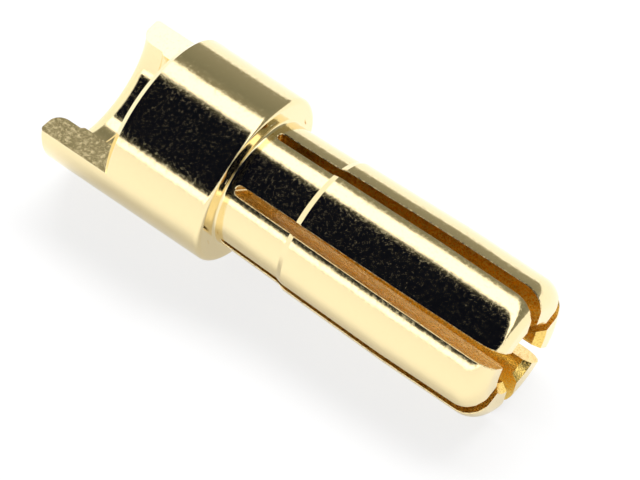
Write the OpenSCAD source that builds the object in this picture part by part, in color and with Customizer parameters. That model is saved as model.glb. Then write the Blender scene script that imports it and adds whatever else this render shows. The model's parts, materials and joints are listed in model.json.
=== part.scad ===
// Slotted bullet plug with a half-shell solder cup, for a battery lead.
// It is turned from one piece: a round collar carries the plug on one side
// and the solder cup on the other. The plug is drilled along its axis and
// slit into fingers, which are sprung outwards a little towards their tips.
// The whole piece lies along X with the plug towards +X and the open side
// of the solder cup upwards. The origin is under its middle, on the surface
// that it lies on.

/* [Collar] */
// Outer diameter of the collar and of the solder cup's shell
collar_d = 6.2; // [5.6:0.1:8]
// Length of the full round collar
collar_len = 4; // [3.6:0.1:6]
// Rounding of the collar's front edge
collar_edge_r = 0.2; // [0.05:0.01:0.3]
// Chamfer of the collar's back edge, where the shell is cut away
collar_back_chamfer = 0.2; // [0.02:0.01:0.25]

/* [Solder cup] */
// Length of the half shell behind the collar
shell_len = 2.6; // [1.6:0.1:4]
// Bore of the cup, which takes the bared wire
cup_bore_d = 4.1; // [2.6:0.1:4.2]
// Depth of the cup's full round bore inside the collar
cup_depth = 2; // [1:0.1:2.1]
// How much wider than the bore the shell's mouth is, in radius
mouth_step = 0.1; // [0.02:0.01:0.2]
// Length of that wider mouth, from the shell's end
mouth_len = 0.95; // [0.7:0.05:1.2]
// Rounding where the mouth turns into the shell's end
mouth_round_r = 0.5; // [0.1:0.05:0.6]
// Rounding of the shell's outer edge
shell_edge_r = 0.16; // [0.05:0.01:0.2]

/* [Plug] */
// Length of the plug, from the collar's front face to the fingertips
plug_len = 10.7; // [8:0.1:14]
// Diameter of the neck before the fingers are sprung
neck_d = 4.6; // [4:0.05:4.65]
// Length of the neck, up to the step
neck_len = 2.65; // [1.5:0.05:3.5]
// Fillet at the neck's root
neck_fillet_r = 0.1; // [0.03:0.01:0.2]
// Length of the cone between neck and barrel
step_len = 0.2; // [0.1:0.05:0.5]
// Diameter of the barrel before the fingers are sprung
barrel_d = 4.75; // [4.7:0.05:5.2]
// Length of the straight contact band before the rounded fingertips
band_len = 3; // [1:0.1:4]
// Rounding of the fingertips
tip_round_r = 0.8; // [0.3:0.05:0.9]
// Bore inside the fingers before they are sprung
plug_bore_d = 1.8; // [1.4:0.1:2.6]
// Chamfer of that bore between the fingertips
plug_bore_chamfer = 0.25; // [0.05:0.01:0.3]

/* [Fingers] */
// Number of slots, and so of fingers
slot_count = 6; // [3:1:8]
// Distance of the slots' closed ends from the collar's front face
slot_start = 0.28; // [0.1:0.01:1]
// Width of each slot as it is sawn, before the fingers are sprung
slot_w = 0.36; // [0.2:0.02:0.4]
// Distance that each fingertip is sprung outwards
finger_spring = 0.2; // [0.02:0.01:0.25]
// Turn of the slots about the axis, from the top of the open cup
slot_turn = 48; // [0:0.5:60]

/* [Hidden] */

collar_r = collar_d / 2;
cup_r = cup_bore_d / 2;
mouth_r = cup_r + mouth_step;
plug_bore_r = plug_bore_d / 2;

// The drills that made both bores have the same point
drill_point_angle = 135;

// Where the fingers have sprung out all the way, and the straight band starts
band_start = plug_len - tip_round_r - band_len;
band_r = barrel_d / 2 + finger_spring;

// Sprung out, the fingers stand on a longer circle, and each slot opens by its share
slot_tip_w = slot_w + 2 * PI * finger_spring / slot_count;

// No rounding takes more than the wall that it is on
shell_wall = collar_r - mouth_r;
shell_edge = min(shell_edge_r, shell_wall / 4);
mouth_round = min(mouth_round_r, shell_wall - 2 * shell_edge, mouth_len / 2);

// Distances along X from the collar's front face
collar_back = -collar_len;
shell_end = collar_back - shell_len;
middle = (plug_len + shell_end) / 2;

past = 1;          // how far a cutting shape reaches past what it cuts
turn_fn = 192;     // sides of everything that is turned
arc_steps = 8;     // chords in each rounded edge

// How far out the fingers have sprung at x
function spring(x) = finger_spring * min(max(x, 0), band_start) / band_start;

// Depth of the cone that a drill leaves at the end of a hole
function point_depth(r) = r / tan(drill_point_angle / 2);

// Points on an arc about [x, r], from one angle to another
function arc(x, r, radius, from, to) =
    [for (i = [0:arc_steps]) let (a = from + (to - from) * i / arc_steps)
        [x + radius * cos(a), r + radius * sin(a)]];

// Turns an outline of [x, r] points about the X axis
module turned(outline) {
    rotate([0, 90, 0])
        rotate_extrude($fn = turn_fn)
            polygon([for (p = outline) [p[1], p[0]]]);
}

// Outer form of the whole piece before anything is cut from it
module turned_blank() {
    turned(concat(
        [[shell_end, 0]],
        arc(shell_end + shell_edge, collar_r - shell_edge, shell_edge, 180, 90),
        arc(-collar_edge_r, collar_r - collar_edge_r, collar_edge_r, 90, 0),
        arc(neck_fillet_r, neck_d / 2 + spring(neck_fillet_r) + neck_fillet_r,
            neck_fillet_r, 180, 270),
        [[neck_len, neck_d / 2 + spring(neck_len)],
         [neck_len + step_len, barrel_d / 2 + spring(neck_len + step_len)],
         [band_start, band_r]],
        arc(plug_len - tip_round_r, band_r - tip_round_r, tip_round_r, 90, 0),
        [[plug_len, 0]]
    ));
}

// Bore of the solder cup: drilled into the collar, with a wider rounded mouth
module cup_bore() {
    bottom = collar_back + cup_depth;
    turned(concat(
        [[bottom + point_depth(cup_r), 0],
         [bottom, cup_r],
         [shell_end + mouth_len + mouth_step, cup_r],
         [shell_end + mouth_len, mouth_r]],
        arc(shell_end + mouth_round, mouth_r + mouth_round, mouth_round, 270, 180),
        [[shell_end - past, mouth_r + mouth_round],
         [shell_end - past, 0]]
    ));
}

// Takes away the upper half of the shell and bevels the collar's back edge there
module shell_cutaway() {
    translate([shell_end - past, -collar_r - past, 0])
        cube([shell_len + past, collar_d + 2 * past, collar_r + past]);
    intersection() {
        turned([
            [collar_back - past, collar_r - collar_back_chamfer - past],
            [collar_back + collar_back_chamfer + past, collar_r + past],
            [collar_back - past, collar_r + past]
        ]);
        translate([collar_back - past, -collar_r - past, 0])
            cube([2 * past + collar_back_chamfer, collar_d + 2 * past, collar_r + past]);
    }
}

// Bore inside the fingers, which opens as they spring out, with its chamfer
module plug_bore() {
    tip_r = plug_bore_r + finger_spring;
    turned([
        [slot_start - point_depth(plug_bore_r), 0],
        [slot_start, plug_bore_r],
        [band_start, tip_r],
        [plug_len - plug_bore_chamfer, tip_r],
        [plug_len + past, tip_r + plug_bore_chamfer + past],
        [plug_len + past, 0]
    ]);
}

// One slot through the wall, from its round closed end out past the fingertips
module slot() {
    first = slot_start + slot_w / 2;
    widening = (slot_tip_w - slot_w) / (plug_len - first);
    linear_extrude(height = barrel_d) {
        translate([first, 0])
            circle(d = slot_w, $fn = 32);
        polygon([
            [first, -slot_w / 2],
            [plug_len + past, -slot_tip_w / 2 - widening * past / 2],
            [plug_len + past, slot_tip_w / 2 + widening * past / 2],
            [first, slot_w / 2]
        ]);
    }
}

// The finished connector: blank, both bores, cut-away shell and slots
module connector() {
    color("gold")
        translate([-middle, 0, collar_r])
            difference() {
                turned_blank();
                cup_bore();
                shell_cutaway();
                plug_bore();
                for (i = [0:slot_count - 1])
                    rotate([slot_turn + i * 360 / slot_count, 0, 0])
                        slot();
            }
}

connector();
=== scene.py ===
import json
import math

import bmesh
import bpy
import numpy as np
from mathutils import Matrix, Vector


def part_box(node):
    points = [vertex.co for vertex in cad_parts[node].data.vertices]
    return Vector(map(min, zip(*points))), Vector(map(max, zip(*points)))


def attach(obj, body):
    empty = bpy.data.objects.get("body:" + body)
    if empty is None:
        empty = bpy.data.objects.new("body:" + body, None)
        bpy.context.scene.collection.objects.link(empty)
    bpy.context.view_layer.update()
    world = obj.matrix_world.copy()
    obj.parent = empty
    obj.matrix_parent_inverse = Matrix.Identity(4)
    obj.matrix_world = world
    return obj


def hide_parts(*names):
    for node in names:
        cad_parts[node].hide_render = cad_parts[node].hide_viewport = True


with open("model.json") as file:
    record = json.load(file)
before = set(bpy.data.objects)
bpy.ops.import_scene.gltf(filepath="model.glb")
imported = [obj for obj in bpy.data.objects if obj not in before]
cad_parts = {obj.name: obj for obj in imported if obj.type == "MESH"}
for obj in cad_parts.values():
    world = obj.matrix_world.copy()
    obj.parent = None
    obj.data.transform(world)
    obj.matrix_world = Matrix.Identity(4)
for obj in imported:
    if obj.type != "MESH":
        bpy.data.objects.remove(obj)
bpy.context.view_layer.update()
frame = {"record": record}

# ---------------------------------------------------------------- camera
# It looks down on the connector through a long lens, from the side of the
# fingertips, and leans a little, so that the plug runs down to the right.
mount = {m["name"]: m for m in frame["record"]["mounts"]}
axis_z = mount["plug"]["pos_m"][2]
scene = bpy.context.scene

lens_mm = 281.25
sensor_mm = 36
view_azimuth = math.radians(30.343)
view_elevation = math.radians(52.42)
view_lean = math.radians(-8.845)
view_distance = 0.161263
aim = Vector((0.00093, -0.000521, axis_z))

camera = bpy.data.objects.new("camera", bpy.data.cameras.new("camera"))
scene.collection.objects.link(camera)
scene.camera = camera
camera.data.lens = lens_mm
camera.data.sensor_width = sensor_mm
camera.data.clip_start = 0.001
camera.data.clip_end = 20

back = Vector((
    math.sin(view_azimuth) * math.cos(view_elevation),
    -math.cos(view_azimuth) * math.cos(view_elevation),
    math.sin(view_elevation),
))
level_side = Vector((math.cos(view_azimuth), math.sin(view_azimuth), 0))
up = back.cross(level_side) * math.cos(view_lean) + level_side * math.sin(view_lean)
turn = Matrix((up.cross(back), up, back)).transposed().to_4x4()
camera.matrix_world = Matrix.Translation(aim + back * view_distance) @ turn


# ---------------------------------------------------------------- table
# A plain white table top. The connector lies on its collar's front edge and on
# its fingertips, so the top is tilted along the axis until it meets both.
def grid_mesh(name, points, close_u=False, close_v=False):
    """A mesh from a grid of points [u, v, xyz]: each cell is one quad, and a direction that
    closes joins its last row on to its first."""
    nu, nv = points.shape[:2]
    index = np.arange(nu * nv).reshape(nu, nv)
    u = np.arange(nu if close_u else nu - 1)
    v = np.arange(nv if close_v else nv - 1)
    u, v = np.meshgrid(u, v, indexing="ij")
    next_u, next_v = (u + 1) % nu, (v + 1) % nv
    quads = np.stack([index[u, v], index[next_u, v], index[next_u, next_v], index[u, next_v]], -1)
    mesh = bpy.data.meshes.new(name)
    mesh.from_pydata(points.reshape(-1, 3).tolist(), [], quads.reshape(-1, 4).tolist())
    return mesh


def put(name, mesh):
    """Links a mesh into the scene as an object at the origin."""
    piece = bpy.data.objects.new(name, mesh)
    scene.collection.objects.link(piece)
    return piece


def lit_white(tree, shaded, to_camera, to_metal):
    """Mixes the shaded table with plain white, by one share for the camera's rays and another
    for mirror and glass rays, so that the table shows white and keeps the shadow."""
    path = tree.nodes.new("ShaderNodeLightPath")
    mirrored = tree.nodes.new("ShaderNodeMath")
    mirrored.operation = "MAXIMUM"
    tree.links.new(path.outputs["Is Glossy Ray"], mirrored.inputs[0])
    tree.links.new(path.outputs["Is Transmission Ray"], mirrored.inputs[1])
    metal_share = tree.nodes.new("ShaderNodeMath")
    metal_share.operation = "MULTIPLY"
    metal_share.inputs[1].default_value = to_metal
    tree.links.new(mirrored.outputs[0], metal_share.inputs[0])
    share = tree.nodes.new("ShaderNodeMath")
    share.operation = "MULTIPLY_ADD"
    share.inputs[1].default_value = to_camera
    tree.links.new(path.outputs["Is Camera Ray"], share.inputs[0])
    tree.links.new(metal_share.outputs[0], share.inputs[2])
    glow = tree.nodes.new("ShaderNodeEmission")
    mix = tree.nodes.new("ShaderNodeMixShader")
    tree.links.new(share.outputs[0], mix.inputs[0])
    tree.links.new(shaded, mix.inputs[1])
    tree.links.new(glow.outputs[0], mix.inputs[2])
    return mix.outputs[0]


low, high = (np.array(corner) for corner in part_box("connector"))
shoulder_x = mount["shoulder"]["pos_m"][0]
tip_radius = mount["plug"]["dims"]["r_mm"] / 1000
table_half = 0.35
table_gap = 0.00001
table_slope = (axis_z - tip_radius) / (high[0] - shoulder_x)
edges = np.array([-table_half, table_half])
table_x, table_y = np.meshgrid(edges, edges, indexing="ij")
table_z = table_slope * (table_x - shoulder_x) - table_gap
floor = put("floor", grid_mesh("floor", np.stack([table_x, table_y, table_z], -1)))

white = bpy.data.materials.new("white_table")
white.use_nodes = True
tree = white.node_tree
matt = tree.nodes["Principled BSDF"]
matt.inputs["Base Color"].default_value = (0.88, 0.88, 0.88, 1)
matt.inputs["Roughness"].default_value = 0.6
matt.inputs["Specular IOR Level"].default_value = 0.2
table_finish = lit_white(tree, matt.outputs[0], to_camera=0.8, to_metal=0.5)
tree.links.new(table_finish, tree.nodes["Material Output"].inputs["Surface"])
floor.data.materials.append(white)

# ---------------------------------------------------------------- lamp and room
# One long soft lamp stands high on the far side and casts the soft shadow. The
# gold mirrors the room: a dim far wall, the lamp, the dark half behind the
# camera, a bright strip low on the near side, and brightness past the solder cup.
lamp_height = math.radians(65)
lamp_reach = 0.5
lamp = bpy.data.objects.new("soft_lamp", bpy.data.lights.new("soft_lamp", "AREA"))
scene.collection.objects.link(lamp)
lamp.data.shape = "RECTANGLE"
lamp.data.size = 0.5
lamp.data.size_y = 0.2
lamp.data.energy = 3.2
lamp_way = Vector((-0.15, math.cos(lamp_height), math.sin(lamp_height))).normalized()
lamp.location = lamp_way * lamp_reach
lamp.rotation_euler = lamp_way.to_track_quat("Z", "Y").to_euler()
lamp.visible_glossy = False

near_strip = (1.9, 1.9, 1.85)
lamp_white = (1.8, 1.8, 1.8)
band_edge = (0.08, 0.08, 0.07)
dark_half = (0.004, 0.005, 0.012)
past_cup = (1.15, 1.15, 1.12)

# Height in degrees, seen along the connector's axis from the far horizon up and over, and the light there
room_bands = [
    (-180, near_strip), (-174, (1.0, 1.0, 1.0)), (-4, (1.0, 0.98, 0.9)),
    (1, (0.32, 0.31, 0.26)), (40, (0.22, 0.22, 0.18)), (52, (0.28, 0.27, 0.22)),
    (56, lamp_white), (75, lamp_white), (79, band_edge),
    (86, dark_half), (165, dark_half), (171, band_edge),
    (173.5, near_strip), (180, near_strip),
]

world = bpy.data.worlds.new("room")
scene.world = world
world.use_nodes = True
room = world.node_tree
way = room.nodes.new("ShaderNodeSeparateXYZ")
room.links.new(room.nodes.new("ShaderNodeTexCoord").outputs["Generated"], way.inputs[0])
height = room.nodes.new("ShaderNodeMath")
height.operation = "ARCTAN2"
room.links.new(way.outputs["Z"], height.inputs[0])
room.links.new(way.outputs["Y"], height.inputs[1])
share = room.nodes.new("ShaderNodeMapRange")
share.inputs["From Min"].default_value = -math.pi
share.inputs["From Max"].default_value = math.pi
room.links.new(height.outputs[0], share.inputs["Value"])
bands = room.nodes.new("ShaderNodeValToRGB")
room.links.new(share.outputs[0], bands.inputs[0])
stops = bands.color_ramp.elements
stops.remove(stops[-1])
for number, (degrees, light) in enumerate(room_bands):
    place = (degrees + 180) / 360
    stop = stops[0] if number == 0 else stops.new(place)
    stop.position = place
    stop.color = (*light, 1)

past = room.nodes.new("ShaderNodeMapRange")
past.interpolation_type = "SMOOTHSTEP"
past.inputs["From Min"].default_value = -0.48
past.inputs["From Max"].default_value = -0.62
room.links.new(way.outputs["X"], past.inputs["Value"])
either = room.nodes.new("ShaderNodeMix")
either.data_type = "RGBA"
either_a, either_b = (i for i in either.inputs if i.type == "RGBA")
either_out = next(o for o in either.outputs if o.type == "RGBA")
either_b.default_value = (*past_cup, 1)
room.links.new(past.outputs[0], either.inputs[0])
room.links.new(bands.outputs[0], either_a)
mirrored_room = room.nodes["Background"]
room.links.new(either_out, mirrored_room.inputs["Color"])
white_room = room.nodes.new("ShaderNodeBackground")
white_room.inputs["Color"].default_value = (1, 1, 1, 1)
seen = room.nodes.new("ShaderNodeMixShader")
room.links.new(room.nodes.new("ShaderNodeLightPath").outputs["Is Camera Ray"], seen.inputs[0])
room.links.new(mirrored_room.outputs[0], seen.inputs[1])
room.links.new(white_room.outputs[0], seen.inputs[2])
room.links.new(seen.outputs[0], room.nodes["World Output"].inputs["Surface"])

# ---------------------------------------------------------------- connector
# One brass bar, turned to a collar, neck and stepped barrel. It is drilled from
# both ends, the solder cup is milled half away, and the plug is sawn into six
# fingers that are sprung outwards. Gold plating covers all of it.
mm = 0.001
collar_r = axis_z
tip_x = high[0] - shoulder_x
end_x = low[0] - shoulder_x
collar_len = 4 * mm
collar_edge = 0.2 * mm
back_bevel = 0.2 * mm

cup_r = mount["solder_cup"]["dims"]["r_mm"] * mm
cup_depth = 2 * mm
mouth_step = 0.1 * mm
mouth_len = 0.95 * mm
mouth_round = 0.475 * mm
shell_edge = 0.16 * mm

neck_r = 2.3 * mm
neck_len = 2.65 * mm
neck_fillet = 0.1 * mm
step_len = 0.2 * mm
barrel_r = 2.375 * mm
band_len = mount["plug"]["dims"]["length_mm"] * mm
tip_round = 0.8 * mm
bore_r = 0.9 * mm
bore_chamfer = 0.25 * mm

finger_count = 6
slot_start = 0.28 * mm
slot_w = 0.36 * mm
slot_turn = math.radians(48)
slot_bevel = 0.026 * mm
sprung = tip_radius - barrel_r
band_x = tip_x - tip_round - band_len

# Half the angle that the mill takes out of the cup: its cut faces slope inwards by the rest of 90 degrees
cut_half = math.radians(87)
drill_point = 1 / math.tan(math.radians(135 / 2))
beside = 0.1 * mm          # the shortest stretch beside a corner, which keeps the gloss there straight
clear = 1 * mm             # how far a cutting form reaches past what it cuts
full_turn = np.linspace(0, 2 * math.pi, 360, endpoint=False)
milled_turn = np.linspace(-cut_half, cut_half, 181)


def spring(x):
    """How far out a finger has sprung at x: in proportion to x up to the straight band, then all the way."""
    return sprung * np.clip(x, 0, band_x) / band_x


def outer_radius(x):
    """Outer radius of the plug at x: the neck's or the barrel's with the step's straight cone between
    them, plus the spring, less what a quarter circle takes off at the fingertips."""
    on_step = neck_r + (barrel_r - neck_r) * (x - neck_len) / step_len
    bare = np.where(x < neck_len, neck_r, np.where(x > neck_len + step_len, barrel_r, on_step))
    into_tip = np.clip(x - (tip_x - tip_round), 0, tip_round * 0.999)
    return bare + spring(x) - tip_round + np.sqrt(tip_round ** 2 - into_tip ** 2)


def arc(x, r, radius, start, end, steps):
    """Points [x, r] at even angles on an arc about one point, from one angle to another in degrees."""
    a = np.radians(np.linspace(start, end, steps + 1))
    return np.stack([x + radius * np.cos(a), r + radius * np.sin(a)], -1)


def line(x0, r0, x1, r1, steps):
    """Points [x, r] at even steps along a straight line, without its last point."""
    t = np.linspace(0, 1, steps, endpoint=False)[:, None]
    return (1 - t) * np.array([[x0, r0]]) + t * np.array([[x1, r1]])


def close_up(piece):
    """Merges doubled points, closes what is open and turns all faces outwards."""
    form = bmesh.new()
    form.from_mesh(piece.data)
    bmesh.ops.remove_doubles(form, verts=form.verts, dist=1e-8)
    bmesh.ops.dissolve_degenerate(form, edges=form.edges, dist=1e-9)
    rims = [edge for edge in form.edges if edge.is_boundary]
    if rims:
        bmesh.ops.holes_fill(form, edges=rims, sides=0)
    bmesh.ops.recalc_face_normals(form, faces=form.faces)
    form.to_mesh(piece.data)
    form.free()


def turned(name, outline, angles):
    """Carries an outline of [x, r] points, from the axis back to the axis, round the X axis:
    y is -r times the angle's sine, and z is r times its cosine, above the axis."""
    x, r = outline[None, :, 0], outline[None, :, 1]
    y = -r * np.sin(angles)[:, None]
    z = r * np.cos(angles)[:, None] + axis_z
    points = np.stack([np.broadcast_to(x + shoulder_x, y.shape), y, z], -1)
    piece = put(name, grid_mesh(name, points, close_u=angles is full_turn))
    close_up(piece)
    return piece


def turned_bar():
    """The whole outer form before anything is cut: cup shell and collar, fillet, neck, step, barrel, tips."""
    after_fillet = neck_fillet + 2 * beside
    step_end = neck_len + step_len
    after_step = step_end + 3 * beside
    return turned("connector_finish", np.concatenate([
        [[end_x, 0]],
        arc(end_x + shell_edge, collar_r - shell_edge, shell_edge, 180, 90, 10),
        line(end_x + shell_edge + beside, collar_r, -collar_edge - beside, collar_r, 12),
        arc(-collar_edge, collar_r - collar_edge, collar_edge, 90, 0, 8),
        arc(neck_fillet, neck_r + spring(neck_fillet) + neck_fillet, neck_fillet, 180, 270, 10),
        line(after_fillet, neck_r + spring(after_fillet), neck_len, neck_r + spring(neck_len), 6),
        [[neck_len, neck_r + spring(neck_len)], [step_end, barrel_r + spring(step_end)]],
        line(after_step, barrel_r + spring(after_step), band_x, tip_radius, 10),
        line(band_x, tip_radius, tip_x - tip_round, tip_radius, 8),
        arc(tip_x - tip_round, tip_radius - tip_round, tip_round, 90, 0, 18),
        [[tip_x, 0]],
    ]), full_turn)


def cup_drill():
    """What the cup's drill takes: a point, the straight bore, a small step, and the mouth's rounding."""
    bottom = cup_depth - collar_len
    mouth_r = cup_r + mouth_step
    return turned("cup_drill", np.concatenate([
        [[bottom + drill_point * cup_r, 0], [bottom, cup_r]],
        line(bottom - beside, cup_r, end_x + mouth_len + mouth_step, cup_r, 6),
        [[end_x + mouth_len + mouth_step, cup_r], [end_x + mouth_len, mouth_r]],
        arc(end_x + mouth_round, mouth_r + mouth_round, mouth_round, 270, 180, 10),
        [[end_x - clear, mouth_r + mouth_round], [end_x - clear, 0]],
    ]), full_turn)


def cup_mill():
    """What the mill takes: the upper part of the shell, with a bevel on the collar's back edge."""
    return turned("cup_mill", np.array([
        [end_x - clear, 0],
        [end_x - clear, collar_r + clear],
        [-collar_len + back_bevel + clear, collar_r + clear],
        [-collar_len, collar_r - back_bevel],
        [-collar_len, 0],
    ]), milled_turn)


def plug_drill():
    """What the plug's drill takes: a point, a bore that opens with the spring, and a chamfer at the tips."""
    tip_bore_r = bore_r + sprung
    after_point = slot_start + 2 * beside
    return turned("plug_drill", np.concatenate([
        [[slot_start - drill_point * bore_r, 0], [slot_start, bore_r]],
        line(after_point, bore_r + spring(after_point), band_x, tip_bore_r, 10),
        [[band_x, tip_bore_r], [tip_x - bore_chamfer, tip_bore_r]],
        [[tip_x + clear, tip_bore_r + bore_chamfer + clear], [tip_x + clear, 0]],
    ]), full_turn)


def saw_cut(angle):
    """What one saw cut takes: a flat outline with a round closed end, which widens towards the tips,
    is carried up from the axis through the wall. From just under the plug's outer form it opens at
    45 degrees, which bevels the slot's edges."""
    side_steps = 60
    first = slot_start + slot_w / 2
    widening = math.pi * sprung / finger_count / (tip_x - first)
    x = np.linspace(tip_x + clear, first, side_steps)
    near = np.stack([x, slot_w / 2 + widening * (x - first)], -1)
    around = np.radians(np.linspace(90, 270, 17))[1:-1]
    out_round = np.stack([np.cos(around), np.sin(around)], -1)
    out_near = np.tile([[0.0, 1.0]], (side_steps, 1))
    plan = np.concatenate([near, [first, 0] + slot_w / 2 * out_round, near[::-1] * [1, -1]])
    out = np.concatenate([out_near, out_round, -out_near])
    surface = np.sqrt(outer_radius(plan[:, 0]) ** 2 - plan[:, 1] ** 2)
    rise = 0.3 * mm
    wide = plan + out * (rise + slot_bevel)
    x = np.stack([plan[:, 0], plan[:, 0], wide[:, 0]])
    across = -np.stack([plan[:, 1], plan[:, 1], wide[:, 1]])
    up = np.stack([0 * surface, surface - slot_bevel, surface + rise])
    y = across * math.cos(angle) - up * math.sin(angle)
    z = across * math.sin(angle) + up * math.cos(angle)
    points = np.stack([x + shoulder_x, y, z + axis_z], -1)
    piece = put("saw_cut", grid_mesh("saw_cut", points, close_v=True))
    close_up(piece)
    return piece


connector = turned_bar()
cutters = [cup_drill(), cup_mill(), plug_drill()]
cutters += [saw_cut(slot_turn + number * 2 * math.pi / finger_count) for number in range(finger_count)]
for cutter in cutters:
    cut = connector.modifiers.new("cut", "BOOLEAN")
    cut.operation = "DIFFERENCE"
    cut.solver = "EXACT"
    cut.object = cutter
machined = connector.evaluated_get(bpy.context.evaluated_depsgraph_get())
machined = bpy.data.meshes.new_from_object(machined)
connector.modifiers.clear()
connector.data = machined
for cutter in cutters:
    bpy.data.objects.remove(cutter)

faces = connector.data.polygons
faces.foreach_set("use_smooth", np.ones(len(faces), bool))
connector.data.set_sharp_from_angle(angle=math.radians(14))


def gold(name, colour, roughness, grain_size, grain_depth):
    """Gold plating over worked brass. A fine grain makes the gloss uneven, in specks duller than the
    rest, and the same grain with slower waves under it makes a shallow bump."""
    material = bpy.data.materials.new(name)
    material.use_nodes = True
    tree = material.node_tree
    skin = tree.nodes["Principled BSDF"]
    skin.inputs["Metallic"].default_value = 1
    skin.inputs["Base Color"].default_value = (*colour, 1)
    place = tree.nodes.new("ShaderNodeTexCoord").outputs["Object"]
    grain = tree.nodes.new("ShaderNodeTexNoise")
    grain.inputs["Scale"].default_value = 1 / grain_size
    grain.inputs["Detail"].default_value = 4
    grain.inputs["Roughness"].default_value = 0.65
    tree.links.new(place, grain.inputs["Vector"])
    gloss = tree.nodes.new("ShaderNodeMapRange")
    gloss.inputs["From Min"].default_value = 0.45
    gloss.inputs["From Max"].default_value = 0.72
    gloss.inputs["To Min"].default_value = roughness * 0.6
    gloss.inputs["To Max"].default_value = roughness * 3.2
    tree.links.new(grain.outputs["Fac"], gloss.inputs["Value"])
    tree.links.new(gloss.outputs[0], skin.inputs["Roughness"])
    wave = tree.nodes.new("ShaderNodeTexNoise")
    wave.inputs["Scale"].default_value = 1 / (grain_size * 6)
    wave.inputs["Detail"].default_value = 2
    tree.links.new(place, wave.inputs["Vector"])
    height = tree.nodes.new("ShaderNodeMath")
    height.operation = "MULTIPLY_ADD"
    height.inputs[1].default_value = 3
    tree.links.new(wave.outputs["Fac"], height.inputs[0])
    tree.links.new(grain.outputs["Fac"], height.inputs[2])
    bump = tree.nodes.new("ShaderNodeBump")
    bump.inputs["Strength"].default_value = 1
    bump.inputs["Distance"].default_value = grain_depth
    tree.links.new(height.outputs[0], bump.inputs["Height"])
    tree.links.new(bump.outputs[0], skin.inputs["Normal"])
    return material


micron = 0.000001
connector.data.materials.clear()
for material in (
    gold("gold_plating", (0.93, 0.78, 0.45), 0.085, 110 * micron, 1.4 * micron),
    # The deeper, darker orange of the sawn and drilled walls is painted shade for light bounced between gold
    # walls; their rougher gloss is the sawn surface.
    gold("sawn_and_drilled_gold", (0.98, 0.69, 0.19), 0.24, 60 * micron, 4 * micron),
    gold("burred_edge_gold", (0.94, 0.76, 0.40), 0.15, 50 * micron, 20 * micron),
):
    connector.data.materials.append(material)

# On the plug, a face well under the outer form is sawn or drilled, unless it looks straight out of the end;
# these faces get a deeper, darker orange painted as shade. A face that leans both outwards and to one side is
# the burred bevel of a slot.
plated, sawn, burred = 0, 1, 2
past_shoulder = 0.05 * mm
under_skin = 0.1 * mm
leaning = 0.3
straight_out = 0.9
centre = np.empty(len(faces) * 3)
facing = np.empty(len(faces) * 3)
faces.foreach_get("center", centre)
faces.foreach_get("normal", facing)
centre = centre.reshape(-1, 3)
facing = facing.reshape(-1, 3)
from_axis = centre[:, 1:] - [0, axis_z]
radius = np.linalg.norm(from_axis, axis=1)
radial = from_axis / np.maximum(radius, 1e-9)[:, None]
outwards = (facing[:, 1:] * radial).sum(1)
sideways = np.abs(facing[:, 2] * radial[:, 0] - facing[:, 1] * radial[:, 1])
x = centre[:, 0] - shoulder_x
on_plug = x > past_shoulder
inside = on_plug & (radius < outer_radius(x) - under_skin) & (facing[:, 0] < straight_out)
bevelled = on_plug & (sideways > leaning) & (outwards > leaning)
kind = np.where(inside, sawn, np.where(bevelled, burred, plated))
faces.foreach_set("material_index", kind.astype(np.int32))
connector.data.update()
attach(connector, "root")
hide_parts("connector")

# ---------------------------------------------------------------- end
scene.view_settings.view_transform = "Standard"
